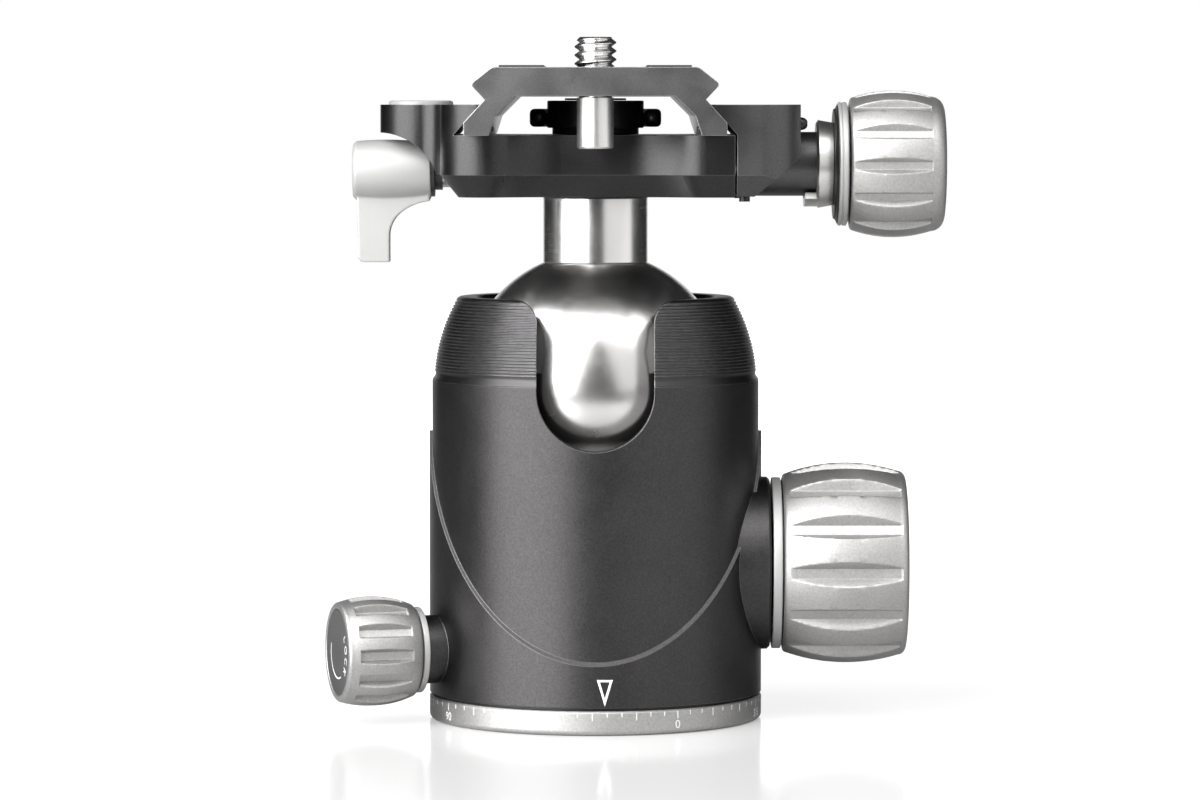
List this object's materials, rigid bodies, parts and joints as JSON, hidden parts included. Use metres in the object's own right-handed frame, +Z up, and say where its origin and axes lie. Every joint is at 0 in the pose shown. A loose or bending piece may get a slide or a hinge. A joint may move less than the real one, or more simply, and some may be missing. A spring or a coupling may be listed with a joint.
{
  "type": "tripod ball head",
  "caption": "Tripod ball head with a panning base, a fluted ball lock knob, a pan lock knob, a drop notch and a panning dovetail clamp that holds a quick plate.",
  "frame": {"origin": "centre of the base's underside, in the mouth of the tripod thread", "axes": "+Z up along the neck and the camera screw, -Y towards the drop notch, +X towards the lock knob and the clamp knob"},
  "size_m": [0.0928, 0.06, 0.1024],
  "materials": {
    "dark_anodised": "satin",
    "black_anodised": "satin",
    "silver": "bead-blasted satin",
    "grey_anodised": "satin",
    "steel": "polished",
    "black_steel": "black oxide",
    "brass": "turned",
    "acetal": "matt",
    "black_plastic": "matt",
    "rubber": "matt",
    "clear_lens": "clear",
    "level_green": "clear"
  },
  "bodies": {
    "base": {"base_ring": "silver", "tripod_bush": "steel", "pan_hub": "silver", "hub_screws": "black_steel", "slip_washer": "black_plastic"},
    "housing": {"housing": "dark_anodised", "collar": "dark_anodised", "upper_seat": "acetal", "retaining_screws": "black_steel", "lock_bush": "brass"},
    "wedge": {"lock_wedge": "brass"},
    "lock_knob": {"lock_screw": "steel", "lock_knob_ring": "silver", "lock_knob": "silver", "lock_knob_bolt": "black_steel", "lock_knob_cap": "grey_anodised"},
    "cup": {"ball_cup": "acetal", "lift_plunger": "brass"},
    "pan_shoe": {"pan_shoe": "acetal"},
    "pan_knob": {"pan_screw": "steel", "pan_knob_ring": "silver", "pan_knob": "silver", "pan_knob_cap": "grey_anodised"},
    "ball": {"ball": "steel", "neck": "steel", "pan_disc": "steel", "neck_bolt": "black_steel"},
    "clamp": {"clamp_body": "black_anodised", "level_bezel": "black_plastic", "level_fluid": "level_green", "level_bubble": "level_green", "level_lens": "clear_lens", "jaw_spring": "steel"},
    "clamp_shoe": {"clamp_shoe": "acetal"},
    "lever": {"lever_screw": "steel", "lever": "silver", "lever_washer": "black_plastic"},
    "jaw": {"moving_jaw": "black_anodised", "guide_pins": "steel", "jaw_set_screws": "black_steel", "jaw_cover_screws": "black_steel", "knob_flange": "silver"},
    "clamp_knob": {"clamp_screw": "steel", "clamp_knob_ring": "silver", "clamp_knob": "silver", "clamp_knob_bolt": "black_steel", "clamp_knob_cap": "grey_anodised"},
    "plate": {"plate": "grey_anodised", "plate_pads": "rubber", "stop_pins": "steel"},
    "camera_screw": {"camera_screw": "black_steel", "d_ring": "steel", "screw_clip": "black_steel"}
  },
  "joints": [
    {"name": "base_pan", "type": "hinge", "parent": "base", "child": "housing", "pos_m": [0, 0, 0], "axis": [0, 0, 1], "continuous": true},
    {"name": "wedge_slide", "type": "slide", "parent": "housing", "child": "wedge", "axis": [1, 0, 0], "range_m": [0, 0.000625]},
    {"name": "lock_knob_turn", "type": "hinge", "parent": "wedge", "child": "lock_knob", "pos_m": [0, 0, 0.0233], "axis": [1, 0, 0], "range_deg": [0, 180]},
    {"name": "cup_drop", "type": "slide", "parent": "housing", "child": "cup", "axis": [0, 0, -1], "range_m": [0, 0.00014]},
    {"name": "pan_shoe_slide", "type": "slide", "parent": "housing", "child": "pan_shoe", "axis": [-0.9537, -0.3007, 0], "range_m": [0, 0.0005]},
    {"name": "pan_knob_turn", "type": "hinge", "parent": "pan_shoe", "child": "pan_knob", "pos_m": [0, 0, 0.011], "axis": [-0.9537, -0.3007, 0], "range_deg": [0, 180]},
    {"name": "ball_tilt", "type": "hinge", "parent": "housing", "child": "ball", "pos_m": [0, 0, 0.0502], "axis": [1, 0, 0], "range_deg": [-32, 90]},
    {"name": "clamp_pan", "type": "hinge", "parent": "ball", "child": "clamp", "pos_m": [0, 0, 0.0824], "axis": [0, 0, 1], "continuous": true},
    {"name": "clamp_shoe_slide", "type": "slide", "parent": "clamp", "child": "clamp_shoe", "axis": [-1, 0, 0], "range_m": [0, 0.0001666]},
    {"name": "lever_turn", "type": "hinge", "parent": "clamp_shoe", "child": "lever", "pos_m": [-0.03, 0, 0.0824], "axis": [-1, 0, 0], "range_deg": [0, 75]},
    {"name": "jaw_slide", "type": "slide", "parent": "clamp", "child": "jaw", "axis": [1, 0, 0], "range_m": [0, 0.004]},
    {"name": "clamp_knob_turn", "type": "hinge", "parent": "jaw", "child": "clamp_knob", "pos_m": [0.04, 0, 0.0834], "axis": [1, 0, 0], "range_deg": [0, 1440]},
    {"name": "plate_slide", "type": "slide", "parent": "clamp", "child": "plate", "axis": [0, 1, 0], "range_m": [-0.0064, 0.0064]},
    {"name": "camera_screw_turn", "type": "hinge", "parent": "plate", "child": "camera_screw", "pos_m": [0, 0, 0.09], "axis": [0, 0, 1], "continuous": true}
  ],
  "couplings": [
    {"joint": "lock_knob_turn", "follows": "wedge_slide", "rad_per_m": 5026.5},
    {"joint": "cup_drop", "follows": "wedge_slide", "ratio": 0.21256},
    {"joint": "pan_knob_turn", "follows": "pan_shoe_slide", "rad_per_m": 6283.2},
    {"joint": "lever_turn", "follows": "clamp_shoe_slide", "rad_per_m": 7854},
    {"joint": "clamp_knob_turn", "follows": "jaw_slide", "rad_per_m": 6283.2}
  ]
}
